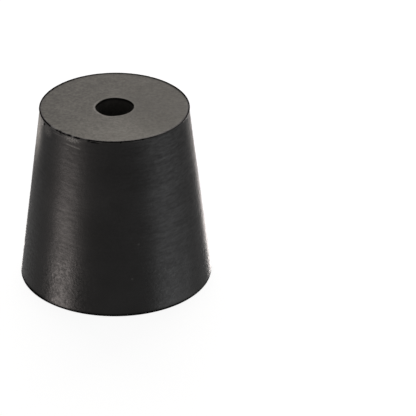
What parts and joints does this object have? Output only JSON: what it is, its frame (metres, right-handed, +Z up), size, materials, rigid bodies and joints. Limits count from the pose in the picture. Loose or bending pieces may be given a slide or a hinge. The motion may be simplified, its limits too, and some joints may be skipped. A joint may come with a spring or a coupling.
{
  "type": "rubber stopper",
  "caption": "Tapered black rubber stopper with a straight hole down its middle, for closing a flask neck round a glass tube or thermometer.",
  "frame": {"origin": "centre of the large end, on the surface that the stopper stands on", "axes": "+Z up the hole, from the large end to the small end; the part is round about it, and the view of the picture looks along +Y with +X to the right"},
  "size_m": [0.026, 0.026, 0.025],
  "materials": {
    "rubber": "matte black moulded rubber, greyer on the ends"
  },
  "bodies": {
    "root": {"stopper": "rubber"}
  },
  "joints": []
}
